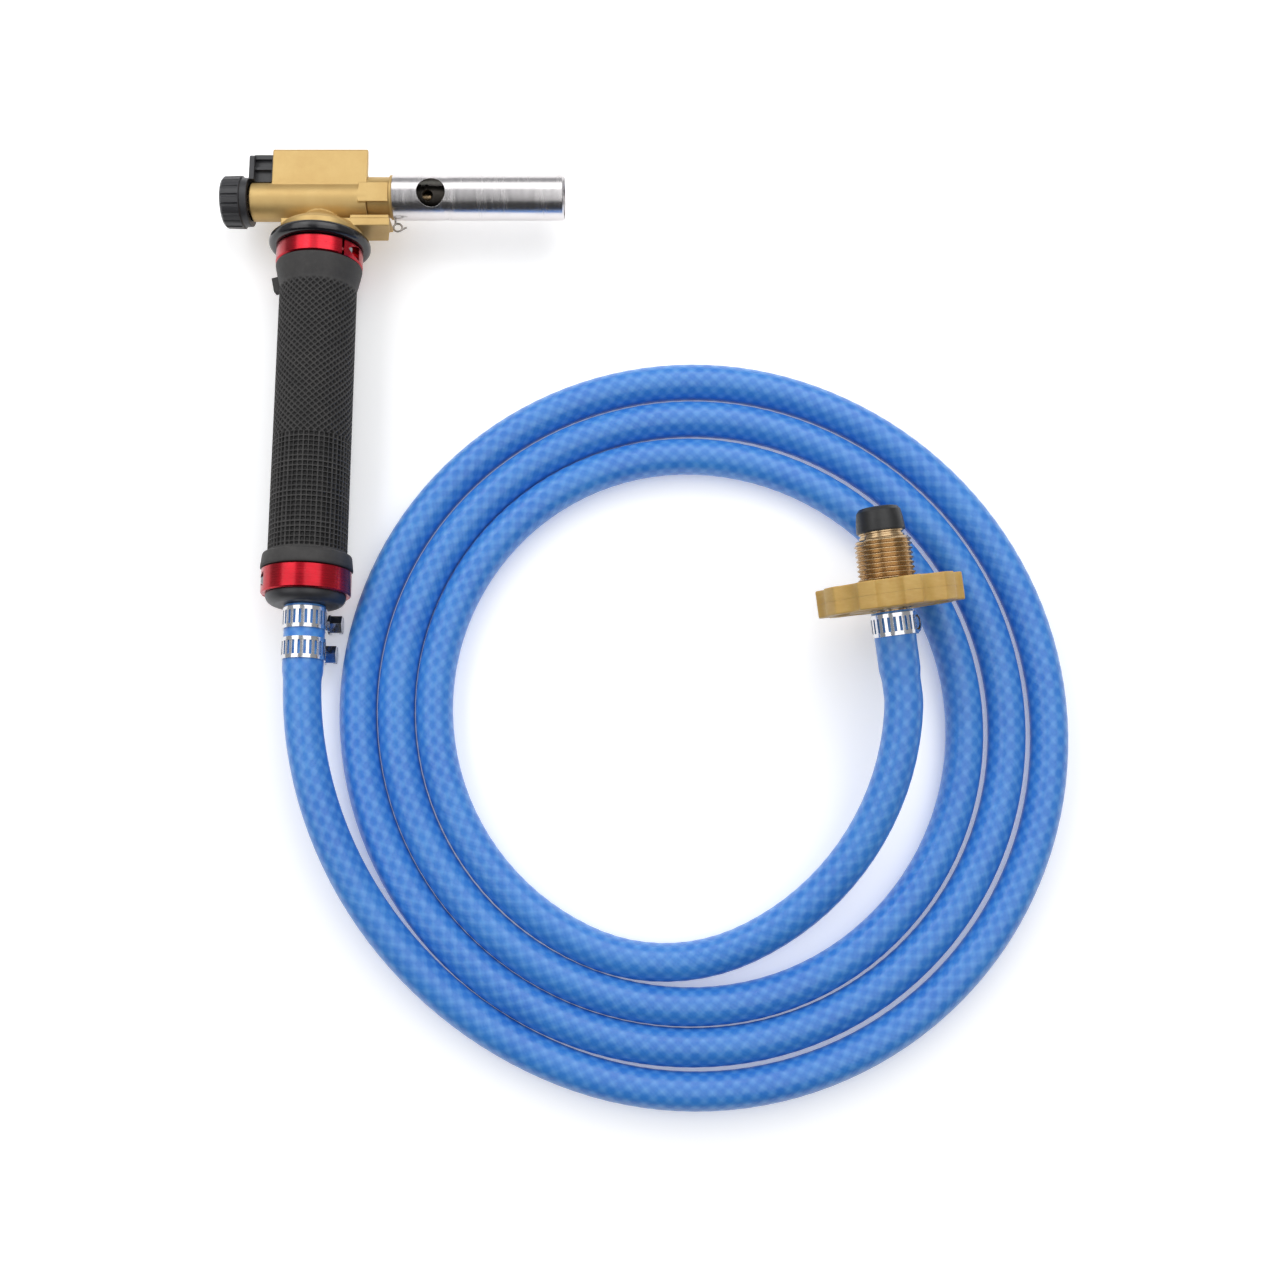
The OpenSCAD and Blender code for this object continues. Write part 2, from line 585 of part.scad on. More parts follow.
// ---------------------------------------------------------------- hose clamps
// clamps 0 and 1 sit under the handle, 2 at the coupling: place along Y, and
// how far the screw and its housing sit to the side of the hose's axis
clamp_y = [4.26, -7.68, -11.2];
screw_shift = [-0.9, -2.8, 0];
screw_z = -11.75;
module clamp_at(i) {
  if (i < 2) at_torch() translate([0, clamp_y[i], 0]) children();
  // housing turned to the side
  else at_coupling() translate([0, clamp_y[i], 0]) rotate([0, -37, 0]) rotate([0, 0, 180])
    children();
}
module clamp_bands() color([0.8, 0.8, 0.82]) for (i = [0:2]) clamp_at(i) difference() {
  sleeve_y(7.86, 8.5, -4.2, 4.2);
  for (k = [3:21]) rotate([0, k * 15, 0]) box([-0.5, -2.7, -10], [0.5, 2.7, -7]);
}
module clamp_housings() color([0.75, 0.75, 0.77]) for (i = [0:2]) clamp_at(i) difference() {
  translate([screw_shift[i], 0, 0]) union() {
    cyl_x(3.9, -4.2, 6.2, 0, screw_z);
    box([-4.8, -4.4, -10.9], [6.6, 4.4, -8.62]);
  }
  // screw bore and room for the band
  cyl_x(3.12, -9, 9, 0, screw_z);
  cyl_y(8.6, -6, 6);
}
// slotted hexagon head on a shank with five thread ridges
module clamp_screw(i) color([0.82, 0.82, 0.84])
  clamp_at(i) translate([screw_shift[i], 0, screw_z]) translate([-3.2, 0, 0]) difference() {
    union() {
      rev_x(concat(
        [[0, -0.8], [2.2, -0.8]],
        [for (k = [0:4]) let (x = 0.2 + k * 1.8) each
          [[2.4, x], [3.02, x + 0.4], [3.02, x + 0.9], [2.4, x + 1.3]]],
        [[2.4, 12], [0, 12]]));
      cyl_x(3.9, 12, 16.6, $fn = 6);
      cyl_x(4.2, 11.2, 12.1);
    }
    box([15.2, -5, -0.5], [18, 5, 0.5]);
  }
module clamp_screw_1() clamp_screw(0);
module clamp_screw_2() clamp_screw(1);
module clamp_screw_3() clamp_screw(2);

// ---------------------------------------------------------------- bottle coupling
// local +Y points from the hose to the nose, with the hand wheel's middle at 0
hose_end_y = -6.2;
module at_coupling() {
  at_kit() translate([hose_end[0], hose_end[1], coupling_z]) rotate([0, 0, coupling_yaw])
    rotate([coupling_pitch, 0, 0]) translate([0, -hose_end_y, 0]) children();
}
// after the barbs: circlip groove, plain stem, grooved flange and the nose's spigot
module tail_nipple() at_coupling() color([0.82, 0.66, 0.4]) rev_y(concat(
  [[2, -27.3]],
  barbs(-27.3, 4, 4.4),
  [[fitting_r, hose_end_y], [6, -6.1], [6, -5.6], [5.5, -5.6], [5.5, -4.85], [6, -4.85],
   [6, 21.6], [8.3, 21.6], [8.5, 21.8], [8.5, 22.6], [7.9, 22.8], [7.9, 23.4], [8.5, 23.6],
   [8.5, 24.15], [5, 24.15], [5, 29.4], [2, 29.4]]));

nut_hex_r = 13.6;
nut_hex_y = [-4.6, 4.3];
nut_core_r = thread_r - 0.6;
module bottle_nut() at_coupling() color([0.8, 0.6, 0.32]) difference() {
  union() {
    rev_y([[0, 4.2], [nut_core_r, 4.2], [nut_core_r, 5.4], [thread_r, 5.4], [thread_r, 20.7],
           [thread_r - 0.8, 21.5], [0, 21.5]]);
    cyl_y(nut_hex_r, nut_hex_y[0], nut_hex_y[1], $fn = 6);
  }
  cyl_y(6.08, -5, 22);
}

wheel_h = 10.4;
module wheel_blank() {
  rotate([-90, 0, 0]) translate([0, 0, -wheel_h / 2]) linear_extrude(height = wheel_h)
    difference() {
      circle(wheel_r);
      for (i = [0:wheel_lobes - 1])
        rotate(i * 360 / wheel_lobes + 8) translate([wheel_r + 4.8, 0]) circle(7.5);
    }
}
// ring cut into the hose side of the wheel, with a rib left standing for each lobe
module wheel_dish() {
  difference() {
    cyl_y(21.8, -6, -2.7);
    cyl_y(16.2, -7, -2);
    for (i = [0:wheel_lobes - 1])
      rotate([0, i * 360 / wheel_lobes, 0]) box([10, -7, -0.8], [23, -2, 0.8]);
  }
}
module hand_wheel() at_coupling() color([0.76, 0.6, 0.33]) difference() {
  wheel_blank();
  // seat of the nut's hexagon and clearance for its core and the nipple
  cyl_y(nut_hex_r + 0.06, nut_hex_y[0] - 0.05, nut_hex_y[1] + 0.05, $fn = 6);
  cyl_y(nut_core_r + 0.06, 3, 6);
  cyl_y(8, -6, 0);
  wheel_dish();
}
module rubber_nose() at_coupling() color([0.08, 0.08, 0.08])
  rev_y([[5.02, 24.17], [9.1, 24.17], [9.25, 24.8], [8.9, 28.9], [8.35, 32], [7.3, 33.3],
         [6.2, 33.6], [3.4, 33.6], [3.4, 31.1], [2.2, 31.1], [2.2, 29.45], [5.02, 29.45]]);
module nut_circlip() at_coupling() color([0.5, 0.5, 0.52]) sleeve_y(5.52, 7.4, -5.55, -4.9);

torch_body();
burner_adapter();
gas_jet();
burner_head();
flame_tube();
flame_swirler();
earth_wire();
electrode_insulator();
electrode_rod();
ignition_lead();
piezo_unit();
piezo_plunger();
piezo_spring();
trigger_button();
control_knob();
knob_screw();
valve_spindle();
valve_needle();
valve_seat();
gland_nut();
gland_oring();
guard_ring();
collar_upper();
collar_lower();
collar_bolts();
grip_rubber();
grip_sleeve();
grip_tab();
handle_bar();
gas_pipe();
end_cap();
hose_barb();
hose();
clamp_bands();
clamp_housings();
clamp_screw_1();
clamp_screw_2();
clamp_screw_3();
tail_nipple();
bottle_nut();
hand_wheel();
rubber_nose();
nut_circlip();
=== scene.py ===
"""Gas torch with a ribbed grip, a coiled blue hose and a bottle coupling with a hand wheel.

It lies on the floor plane z = 0. The handle's axis is parallel to +Y; the hose leaves its
low-y end heading -Y, coils anticlockwise seen from above and rises to the coupling.
Design lengths are in millimetres; meshes, lights and the camera are in metres.
"""
import json
import math

import bmesh
import bpy
import numpy as np
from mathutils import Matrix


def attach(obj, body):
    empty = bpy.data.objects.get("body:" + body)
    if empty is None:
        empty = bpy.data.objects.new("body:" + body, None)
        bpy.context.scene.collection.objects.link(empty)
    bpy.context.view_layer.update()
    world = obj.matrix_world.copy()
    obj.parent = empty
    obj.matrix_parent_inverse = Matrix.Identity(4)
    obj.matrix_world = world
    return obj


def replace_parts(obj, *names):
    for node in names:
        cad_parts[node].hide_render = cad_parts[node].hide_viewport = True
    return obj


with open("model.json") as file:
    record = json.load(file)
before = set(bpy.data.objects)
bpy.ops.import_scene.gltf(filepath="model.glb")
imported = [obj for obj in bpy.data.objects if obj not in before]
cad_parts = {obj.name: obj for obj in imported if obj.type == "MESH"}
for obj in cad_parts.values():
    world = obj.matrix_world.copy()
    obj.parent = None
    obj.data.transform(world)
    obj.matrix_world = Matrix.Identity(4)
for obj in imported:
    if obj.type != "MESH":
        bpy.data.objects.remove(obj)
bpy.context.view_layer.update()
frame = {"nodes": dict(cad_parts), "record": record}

MM = 0.001
SHIFT = np.array([1.159, -9.102, 0.0])     # from design coordinates to the CAD's place
HANDLE_X, HANDLE_Z = -129.8, 20.25         # handle axis
BRAID_REPEATS, BRAID_PITCH = 8, 6.2        # hose braid: repeats round, length of one repeat


def srgb(*rgb):
    """Linear RGBA from 0..255 sRGB."""
    def linear(c):
        c /= 255.0
        return c / 12.92 if c <= 0.04045 else ((c + 0.055) / 1.055) ** 2.4
    return tuple(linear(c) for c in rgb) + (1.0,)


def shade(color, factor):
    return tuple(min(1, c * factor) for c in color[:3]) + (1.0,)


# ------------------------------------------------------------------ material nodes
class Mat:
    """A Principled material with object-space texture coordinates in millimetres."""

    def __init__(self, name):
        self.material = bpy.data.materials.new(name)
        self.material.use_nodes = True
        self.tree = self.material.node_tree
        self.tree.nodes.clear()
        output = self.node("OutputMaterial")
        self.shader = self.node("BsdfPrincipled")
        self.feed(output.inputs[0], self.shader.outputs[0])
        coordinates = self.node("TexCoord").outputs["Object"]
        self.mm = self.node("VectorMath", {0: coordinates, "Scale": 1000.0},
                            operation="SCALE").outputs[0]
        self.normal = None

    def feed(self, socket, value):
        """Link an output socket, or set a plain value."""
        if isinstance(value, bpy.types.NodeSocket):
            self.tree.links.new(value, socket)
        else:
            socket.default_value = value

    def node(self, kind, inputs=None, **settings):
        made = self.tree.nodes.new("ShaderNode" + kind)
        for key, value in settings.items():
            setattr(made, key, value)
        for key, value in (inputs or {}).items():
            self.feed(made.inputs[key], value)
        return made

    def set(self, **inputs):
        """Set shader inputs; underscores stand for spaces."""
        for key, value in inputs.items():
            self.feed(self.shader.inputs[key.replace("_", " ")], value)

    def noise(self, scale, detail=3.0, rough=0.5, stretch=None):
        vector = self.mm
        if stretch:
            vector = self.node("VectorMath", {0: vector, 1: stretch},
                               operation="MULTIPLY").outputs[0]
        return self.node("TexNoise", {"Scale": scale, "Detail": detail, "Roughness": rough,
                                      "Vector": vector}).outputs[0]

    def cells(self, scale):
        return self.node("TexVoronoi", {"Scale": scale, "Vector": self.mm}).outputs["Distance"]

    def remap(self, value, to=(0.0, 1.0), source=(0.3, 0.7)):
        """Map source to to, clamped; the default source is the usual spread of a noise."""
        return self.node("MapRange", {
            "From Min": source[0], "From Max": source[1],
            "To Min": to[0], "To Max": to[1], "Value": value}).outputs[0]

    def calc(self, operation, *values):
        return self.node("Math", dict(enumerate(values)), operation=operation).outputs[0]

    def mix(self, factor, a, b):
        return self.node("Mix", {0: factor, 6: a, 7: b}, data_type="RGBA").outputs[2]

    def bevel(self, radius_mm, samples=4):
        self.normal = self.node("Bevel", {"Radius": radius_mm * MM}, samples=samples).outputs[0]
        self.set(Normal=self.normal)

    def bump(self, height, depth_mm):
        """Add a bump on top of any earlier bevel or bump."""
        made = self.node("Bump", {"Strength": 1.0, "Distance": depth_mm * MM, "Height": height})
        if self.normal is not None:
            self.feed(made.inputs["Normal"], self.normal)
        self.normal = made.outputs[0]
        self.set(Normal=self.normal)


# ------------------------------------------------------------------ materials
def metal(name, color, rough, vary, scale, stretch=None, bevel=0.15, tint=0.12, bump=0.004):
    """Metal whose roughness varies by +-vary; tint is how far its patches darken."""
    m = Mat(name)
    patches = m.noise(scale=0.12, detail=3, rough=0.6)
    fine = m.noise(scale=scale, detail=4, rough=0.6, stretch=stretch)
    m.set(Metallic=1.0, Base_Color=m.mix(patches, color, shade(color, 1 - tint)),
          Roughness=m.remap(fine, to=(rough - vary, rough + vary)))
    m.bevel(bevel)
    m.bump(fine, bump)
    return m.material


def plastic(name, color, rough, grain, bump, bevel, vary=0.05, specular=0.5, tint=0.15):
    """Plastic with patches tinted darker and lighter; grain is the fine noise's scale."""
    m = Mat(name)
    patches = m.noise(scale=0.15, detail=3, rough=0.6)
    fine = m.noise(scale=grain, detail=3, rough=0.6)
    m.set(Specular_IOR_Level=specular,
          Base_Color=m.mix(m.remap(patches), shade(color, 1 - tint), shade(color, 1 + tint)),
          Roughness=m.remap(fine, to=(rough - vary, rough + vary)))
    m.bevel(bevel)
    m.bump(fine, bump)
    return m.material


def gold_paint():
    m = Mat("gold_paint")
    patches = m.noise(scale=0.09, detail=3, rough=0.6)
    sheen = m.noise(scale=1.1, detail=4, rough=0.6)
    flakes = m.cells(scale=7.0)
    color = m.mix(m.remap(patches, source=(0.35, 0.75)), srgb(201, 170, 110), srgb(192, 158, 98))
    color = m.mix(m.remap(flakes, to=(0.16, 0.0), source=(0.0, 0.5)), color, srgb(232, 205, 150))
    m.set(Base_Color=color, Metallic=0.55, Specular_IOR_Level=0.5,
          Roughness=m.remap(sheen, to=(0.36, 0.5)))
    m.bevel(radius_mm=0.35, samples=6)
    m.bump(m.noise(scale=1.6, detail=4, rough=0.65), depth_mm=0.02)
    m.bump(flakes, depth_mm=0.006)
    return m.material


def red_anodised():
    m = Mat("red_anodised")
    lines = m.noise(scale=1.0, detail=4, rough=0.7, stretch=(0.03, 9.0, 0.03))
    patches = m.noise(scale=0.1, detail=2, rough=0.5)
    color = m.mix(m.remap(patches), srgb(196, 18, 38), srgb(150, 8, 26))
    color = m.mix(m.remap(lines, to=(0.0, 0.35), source=(0.35, 0.75)), color, srgb(222, 48, 62))
    m.set(Metallic=1.0, Base_Color=color, Roughness=m.remap(lines, to=(0.2, 0.34)),
          Coat_Weight=0.35, Coat_Roughness=0.12)
    m.bevel(radius_mm=0.2)
    m.bump(lines, depth_mm=0.006)
    return m.material


def grip_rubber():
    m = Mat("grip_rubber")
    fine = m.noise(scale=3.5, detail=4, rough=0.6)
    patches = m.noise(scale=0.12, detail=3, rough=0.6)
    dust = m.noise(scale=0.5, detail=5, rough=0.7)
    color = m.mix(m.remap(patches), srgb(60, 58, 57), srgb(48, 47, 47))
    color = m.mix(m.remap(dust, to=(0.0, 0.2), source=(0.5, 0.8)), color, srgb(88, 86, 84))
    # dust stays on the crests; the pits, nearer the handle axis, get painted shade: they are
    # coloured near black
    place = m.node("SeparateXYZ", {0: m.mm}).outputs
    across = m.calc("SUBTRACT", place[0], float(HANDLE_X + SHIFT[0]))
    above = m.calc("SUBTRACT", place[2], HANDLE_Z)
    radius = m.calc("SQRT", m.calc("ADD", m.calc("MULTIPLY", across, across),
                                   m.calc("MULTIPLY", above, above)))
    # painted shade: near-black colour where the radius drops into the pits
    color = m.mix(m.remap(radius, to=(1, 0), source=(14.75, 15.2)), color, srgb(14, 13, 13))
    m.set(Base_Color=color, Roughness=m.remap(fine, to=(0.55, 0.75)), Specular_IOR_Level=0.45)
    m.bump(fine, depth_mm=0.03)
    return m.material


def blue_pvc():
    """Braid under a translucent cover, its crests coloured lighter as painted highlight. The UV's
    u runs 0..1 round, v in millimetres along.
    """
    m = Mat("blue_pvc")
    uv = m.node("SeparateXYZ", {0: m.node("UVMap", uv_map="hose_uv").outputs[0]}).outputs
    around = m.calc("MULTIPLY", uv[0], BRAID_REPEATS * 2 * math.pi)
    along = m.calc("MULTIPLY", uv[1], 2 * math.pi / BRAID_PITCH)
    # painted highlight: the braid's crests are coloured lighter
    painted_crest_highlight = m.calc("MULTIPLY", m.calc("COSINE", around), m.calc("COSINE", along))
    yarns = [m.calc("SINE", m.calc("MULTIPLY", m.calc(way, around, along), 3.0))
             for way in ("ADD", "SUBTRACT")]
    weave = m.calc("ADD", *[m.calc("MULTIPLY", yarn, 0.5) for yarn in yarns])
    cloud = m.noise(scale=0.05, detail=3, rough=0.6)
    fine = m.noise(scale=1.3, detail=4, rough=0.65)
    color = m.mix(m.remap(cloud), srgb(44, 118, 208), srgb(56, 134, 216))
    color = m.mix(m.remap(painted_crest_highlight, to=(0.0, 0.5), source=(-0.4, 1.0)), color, srgb(112, 176, 236))
    color = m.mix(m.remap(weave, to=(0.0, 0.12), source=(-1, 1)), color, srgb(34, 98, 190))
    color = m.mix(m.remap(fine, to=(0.0, 0.18), source=(0.55, 0.8)), color, srgb(120, 176, 232))
    m.set(Base_Color=color, Roughness=m.remap(fine, to=(0.27, 0.42)), Specular_IOR_Level=0.5,
          Coat_Weight=0.25, Coat_Roughness=0.22, Subsurface_Weight=0.12,
          Subsurface_Scale=0.002, Subsurface_Radius=(0.3, 0.6, 1.0))
    m.bump(weave, depth_mm=0.02)
    m.bump(fine, depth_mm=0.03)
    return m.material


def wheel_plastic():
    m = Mat("wheel_plastic")
    patches = m.noise(scale=0.1, detail=3, rough=0.6)
    flow = m.noise(scale=0.5, detail=4, rough=0.7, stretch=(0.5, 2.0, 0.5))
    color = m.mix(m.remap(patches), srgb(198, 162, 88), srgb(184, 144, 70))
    color = m.mix(m.remap(flow, to=(0.0, 0.35), source=(0.45, 0.8)), color, srgb(214, 182, 112))
    m.set(Base_Color=color, Roughness=m.remap(m.noise(scale=1.5), to=(0.38, 0.52)),
          Subsurface_Weight=0.06, Subsurface_Scale=0.002)
    m.bevel(radius_mm=0.3)
    m.bump(m.noise(scale=1.2, detail=4, rough=0.6), depth_mm=0.025)
    return m.material


def studio_floor():
    m = Mat("studio_floor")
    m.set(Base_Color=m.mix(m.noise(scale=0.01, detail=2), srgb(252, 252, 252),
                           srgb(249, 249, 250)),
          Roughness=0.6, Specular_IOR_Level=0.2,
          Emission_Color=(1, 1, 1, 1), Emission_Strength=0.25)
    return m.material


SLOTS = {
    "gold_paint": gold_paint(),
    "brass": metal("brass", srgb(200, 172, 134), rough=0.26, vary=0.07, scale=0.9,
                   tint=0.15, bevel=0.12),
    "stainless": metal("stainless", srgb(232, 228, 228), rough=0.24, vary=0.05, scale=0.7,
                       stretch=(1.0, 0.08, 0.08), tint=0.1, bevel=0.1, bump=0.006),
    "dark_steel": metal("dark_steel", srgb(70, 66, 62), rough=0.5, vary=0.12, scale=1.4,
                        tint=0.45, bump=0.03),
    "steel": metal("steel", srgb(222, 222, 224), rough=0.14, vary=0.05, scale=0.8,
                   tint=0.1, bevel=0.12),
    "spring_steel": metal("spring_steel", srgb(170, 164, 156), rough=0.3, vary=0.08, scale=1.2,
                          tint=0.2, bevel=0.05),
    "ceramic": plastic("ceramic", srgb(236, 232, 222), rough=0.2, grain=1.5,
                       bump=0.006, bevel=0.1),
    "lead_red": plastic("lead_red", srgb(180, 30, 28), rough=0.35, grain=1.5,
                        bump=0.006, bevel=0.1),
    "piezo_shell": plastic("piezo_shell", srgb(214, 212, 200), rough=0.4, grain=1.5,
                           bump=0.008, bevel=0.2),
    "black_plastic": plastic("black_plastic", srgb(44, 44, 47), rough=0.4, vary=0.08,
                             grain=3.0, bump=0.018, bevel=0.3, tint=0.2),
    "gloss_black": plastic("gloss_black", srgb(22, 22, 26), rough=0.2, vary=0.06, grain=0.8,
                           bump=0.006, bevel=0.2, specular=0.6, tint=0.25),
    "red_anodised": red_anodised(),
    "rubber": grip_rubber(),
    "inner_plastic": plastic("inner_plastic", srgb(56, 56, 58), rough=0.5, grain=2.0,
                             bump=0.01, bevel=0.1),
    "bar_alloy": metal("bar_alloy", srgb(205, 205, 208), rough=0.3, vary=0.06, scale=0.8,
                       stretch=(1, 0.1, 1)),
    "blue_pvc": blue_pvc(),
    "wheel_plastic": wheel_plastic(),
    "nose_rubber": plastic("nose_rubber", srgb(26, 26, 27), rough=0.42, vary=0.1, grain=1.2,
                           bump=0.02, bevel=0.3, tint=0.3),
}
slot_of = {part["node"]: part["material_slot"] for part in frame["record"]["subparts"]}
for node, cad_object in frame["nodes"].items():
    cad_object.data.materials.clear()
    cad_object.data.materials.append(SLOTS[slot_of[node]])


# ------------------------------------------------------------------ mesh helpers
def add_object(mesh, slot, body, sharp_angle):
    """Link a smooth-shaded mesh, with edges over sharp_angle degrees kept sharp."""
    made = bpy.data.objects.new(mesh.name, mesh)
    bpy.context.scene.collection.objects.link(made)
    mesh.polygons.foreach_set("use_smooth", [True] * len(mesh.polygons))
    mesh.set_sharp_from_angle(angle=math.radians(sharp_angle))
    mesh.materials.append(SLOTS[slot])
    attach(made, body)
    return made


def mesh_object(name, verts, faces, slot, body, sharp_angle):
    mesh = bpy.data.meshes.new(name)
    mesh.from_pydata(verts.tolist(), [], faces)
    mesh.update()
    return add_object(mesh, slot, body, sharp_angle)


def ring_faces(rings, count, first=0, flip=False):
    """Quads between successive rings of count vertices, from vertex first on."""
    faces = []
    for i in range(rings - 1):
        for k in range(count):
            a = first + i * count + k
            b = first + i * count + (k + 1) % count
            face = (a, b, b + count, a + count)
            faces.append(face[::-1] if flip else face)
    return faces


def closed_ring_faces(rings, count):
    """ring_faces, with the last ring also joined to the first."""
    faces = ring_faces(rings, count)
    last = (rings - 1) * count
    for k in range(count):
        j = (k + 1) % count
        faces.append((k, last + k, last + j, j))
    return faces


def smooth01(t):
    t = np.clip(t, 0, 1)
    return t * t * (3 - 2 * t)


# ------------------------------------------------------------------ hose
# plan of the centre line: (radius, turn in degrees), or (length, 0) for a straight
LEGS = [(27.14, 0), (156.23, 71.792), (138.8, 134.122), (141.52, 45.394), (131.95, 138.501),
        (129.62, 67.818), (122.26, 41.075), (123.87, 116.191), (116.64, 142.499),
        (113.62, 62.739), (104.49, 23.364), (108.46, 141.967), (98.62, 47.925),
        (101.62, 112.487), (73.16, 47.805), (101.15, 64.013), (29.35, 9.808), (30.8, 0)]
HOSE_START_Y = 9.35
HOSE_R, HOSE_END_R = 7.25, 7.8             # outside radius, and where it is pushed on
BORE_R, BORE_END_R = 4.0, 4.55
END_STRAIGHT = LEGS[-1][0]
COUPLING_Z = 35.3                          # centre height of the hose's far end
YAW, PITCH = math.radians(7.5), math.radians(8.3)   # coupling axis: turned from +Y, and up
FALL_START, FALL_LENGTH, RISE_LENGTH = 34.0, 170.0, 150.0


def advance(start, leg, distance):
    """Plan state (x, y, heading, length so far) a distance into a leg."""
    x, y, heading, length = start
    radius, turn = leg
    before = math.radians(heading)
    if turn == 0:
        return (x + distance * math.cos(before), y + distance * math.sin(before),
                heading, length + distance)
    heading += math.degrees(distance / radius)
    after = math.radians(heading)
    return (x + radius * (math.sin(after) - math.sin(before)),
            y - radius * (math.cos(after) - math.cos(before)), heading, length + distance)


STATES = [(HANDLE_X, HOSE_START_Y, -90.0, 0.0)]
for size, turn in LEGS:
    leg_length = size * math.radians(turn) if turn else size
    STATES.append(advance(STATES[-1], (size, turn), leg_length))
HOSE_LENGTH = STATES[-1][3]


def hose_height(s):
    """Falls from the handle axis to the floor, then rises and tips up to the coupling."""
    slope = math.tan(PITCH)
    rise_start = HOSE_LENGTH - END_STRAIGHT - RISE_LENGTH
    rise = COUPLING_Z - END_STRAIGHT * slope - HOSE_R
    t = min(1.0, max(0.0, (s - rise_start) / RISE_LENGTH))
    return (HOSE_R + (HANDLE_Z - HOSE_R) * (1 - smooth01((s - FALL_START) / FALL_LENGTH))
            + rise * t * t * (3 - 2 * t) + RISE_LENGTH * slope * (t ** 3 - t * t)
            + max(0.0, s - HOSE_LENGTH + END_STRAIGHT) * slope)


def hose_ring(s, radius, angles):
    """Points round the centre line at length s; angle 0 is to the left of travel, 90 up."""
    i = 0
    while i < len(LEGS) - 1 and s > STATES[i + 1][3]:
        i += 1
    x, y, heading, _ = advance(STATES[i], LEGS[i], s - STATES[i][3])
    climb = math.atan((hose_height(s + 0.01) - hose_height(s - 0.01)) / 0.02)
    c, n = math.cos(math.radians(heading)), math.sin(math.radians(heading))
    travel = np.array([c * math.cos(climb), n * math.cos(climb), math.sin(climb)])
    side = np.array([-n, c, 0.0])
    up = np.cross(travel, side)
    outward = np.cos(angles)[:, None] * side + np.sin(angles)[:, None] * up
    return np.array([x, y, hose_height(s)]) + np.reshape(radius, (-1, 1)) * outward


def end_swell(s):
    """1 at either end of the hose, 0 between."""
    return max(1 - smooth01((s - 24.5) / 5), smooth01((s - HOSE_LENGTH + 26) / 5))


def cover_radius(s, angles):
    radius = HOSE_R + (HOSE_END_R - HOSE_R) * end_swell(s)
    # the cover swells beside each band
    band_half = 4.2
    for centre in (5.09, 17.03, HOSE_LENGTH - 5.0):
        beyond = abs(s - centre) - band_half
        if 0 < beyond < 2.4:
            radius += 0.09 * math.exp(-((beyond - 0.8) / 0.7) ** 2)
    # the braid shows through the cover, fading out near the ends
    fade = min(1.0, max(0.0, min((s - 24) / 8, (HOSE_LENGTH - 24 - s) / 8)))
    wave = 2 * np.pi / BRAID_PITCH
    relief = 0.055 * fade * np.cos(BRAID_REPEATS * angles) * math.cos(wave * s)
    radii = radius + relief
    # a rubbed flat on the first bend
    if 30 < s < 62:
        flat_angle = math.radians(112)
        off = np.arctan2(np.sin(angles - flat_angle), np.cos(angles - flat_angle))
        worn = np.exp(-(((s - 45) / 7.5) ** 4)) * np.exp(-((off / 0.33) ** 4))
        radii = radii * (1 - worn) + (radius - 0.28) * worn
    return radii


def add_hose_uv(mesh, stations, count):
    """hose_uv: u is 0..1 round, v is the length along the cover and 0 on the bore."""
    corners = np.zeros(len(mesh.loops), dtype=np.int64)
    mesh.loops.foreach_get("vertex_index", corners)
    column = corners % count
    on_cover = corners < len(stations) * count
    v = np.where(on_cover, stations[np.where(on_cover, corners // count, 0)], 0.0)
    # close the seam: every face is a quad, and one in the last column ends at u = 1
    widest = np.repeat(column.reshape(-1, 4).max(axis=1), 4)
    u = np.where((column == 0) & (widest == count - 1), 1.0, column / count)
    layer = mesh.uv_layers.new(name="hose_uv")
    layer.data.foreach_set("uv", np.stack([u, v], 1).astype(np.float32).ravel())


def build_hose():
    count, spacing, bore_rings = 56, 0.9, 260
    angles = 2 * np.pi * np.arange(count) / count
    stations = np.linspace(0, HOSE_LENGTH, int(HOSE_LENGTH / spacing) + 1)
    cover = [hose_ring(s, cover_radius(s, angles), angles) for s in stations]
    bore = [hose_ring(s, BORE_R + (BORE_END_R - BORE_R) * end_swell(s), angles)
            for s in np.linspace(0, HOSE_LENGTH, bore_rings)]
    verts = (np.concatenate(cover + bore) + SHIFT) * MM

    first = len(stations) * count          # the bore's first vertex
    faces = ring_faces(len(stations), count)
    faces += ring_faces(bore_rings, count, first, flip=True)
    cover_end, bore_end = first - count, first + (bore_rings - 1) * count
    for k in range(count):
        j = (k + 1) % count
        faces.append((k, first + k, first + j, j))
        faces.append((cover_end + k, cover_end + j, bore_end + j, bore_end + k))
    hose = mesh_object("hose_cover", verts, faces, "blue_pvc", "torch", sharp_angle=50)
    add_hose_uv(hose.data, stations, count)
    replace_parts(hose, "hose")


build_hose()


# ------------------------------------------------------------------ grip
GRIP_R = 15.3
# plain ends of the grip: (radius, y), either side of the tread
GRIP_LOW_END = [(13.06, 23.57), (16.9, 23.57), (17.5, 23.62), (17.78, 23.9), (17.7, 25.0),
                (17.25, 28.9), (17.0, 29.4), (15.6, 29.75), (GRIP_R, 29.95)]
GRIP_HIGH_END = [(GRIP_R, 140.1), (15.35, 140.5), (15.75, 142.0), (16.3, 144.2), (16.8, 146.6),
                 (17.15, 148.4), (17.18, 148.9), (17.0, 149.3), (16.7, 149.5), (13.06, 149.52)]


def square_pits(turns, y):
    """Thin raised ribs round square pits, 48 round the grip."""
    across = np.abs((turns * 48) % 1.0 - 0.5)
    along = abs((y / 2.0) % 1.0 - 0.5)
    return -0.72 * (smooth01((0.40 - across) / 0.1) * smooth01((0.39 - along) / 0.1))


def diamond_net(turns, y):
    """A raised net round diamond pits: two lattices, half a step apart, 34 round the grip."""
    u, v = turns * 34, y / 2.55
    nearest = np.minimum(*[
        np.abs(u - start - np.round(u - start)) + abs(v - start - round(v - start))
        for start in (0.0, 0.5)])
    return -0.62 * smooth01((0.40 - nearest) / 0.16)


